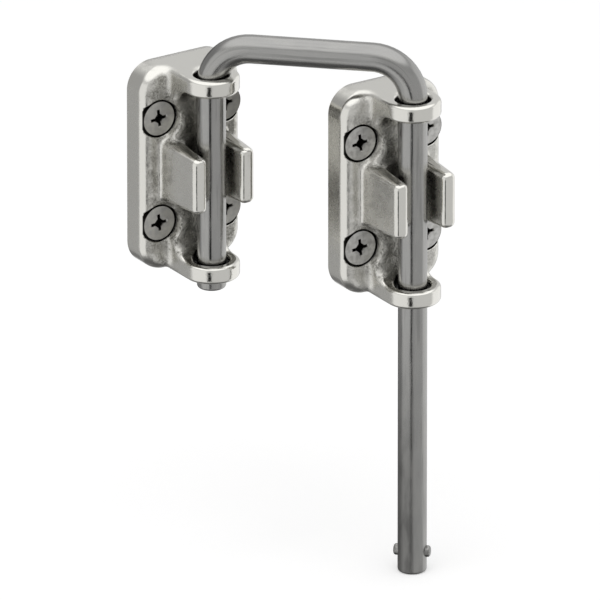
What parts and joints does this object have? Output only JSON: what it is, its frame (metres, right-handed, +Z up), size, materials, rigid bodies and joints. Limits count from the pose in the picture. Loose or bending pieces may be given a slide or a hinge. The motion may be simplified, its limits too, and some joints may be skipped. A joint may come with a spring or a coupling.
{
  "type": "door loop lock",
  "caption": "Surface-mounted loop lock for a sliding door: a bent steel loop drops through the rings of two screwed-on cast brackets.",
  "frame": {"origin": "middle of the jamb bracket's back face, on the wall plane, half-way between its four screws", "axes": "+Z up along the bar, +Y into the wall along the screws, +X to the right for someone who faces the lock; the door bracket is to the left and set back"},
  "size_m": [0.0718, 0.0677, 0.1527],
  "materials": {
    "nickel_casting": "nickel-plated die casting, polished, a little cloudy on the flats",
    "bar_steel": "drawn bar, brushed lengthwise and plated",
    "screw_steel": "plated flat-head screw, satin",
    "pin_steel": "plain steel pin"
  },
  "bodies": {
    "brackets": {"jamb_bracket": "nickel_casting", "door_bracket": "nickel_casting", "jamb_screw_upper_left": "screw_steel", "jamb_screw_upper_right": "screw_steel", "jamb_screw_lower_left": "screw_steel", "jamb_screw_lower_right": "screw_steel", "door_screw_upper_left": "screw_steel", "door_screw_upper_right": "screw_steel", "door_screw_lower_left": "screw_steel", "door_screw_lower_right": "screw_steel"},
    "loop": {"loop_bar": "bar_steel", "retaining_pin": "pin_steel"}
  },
  "joints": [
    {"name": "loop_lift", "type": "slide", "parent": "brackets", "child": "loop", "axis": [0, 0, 1], "range_m": [0, 0.072]}
  ]
}
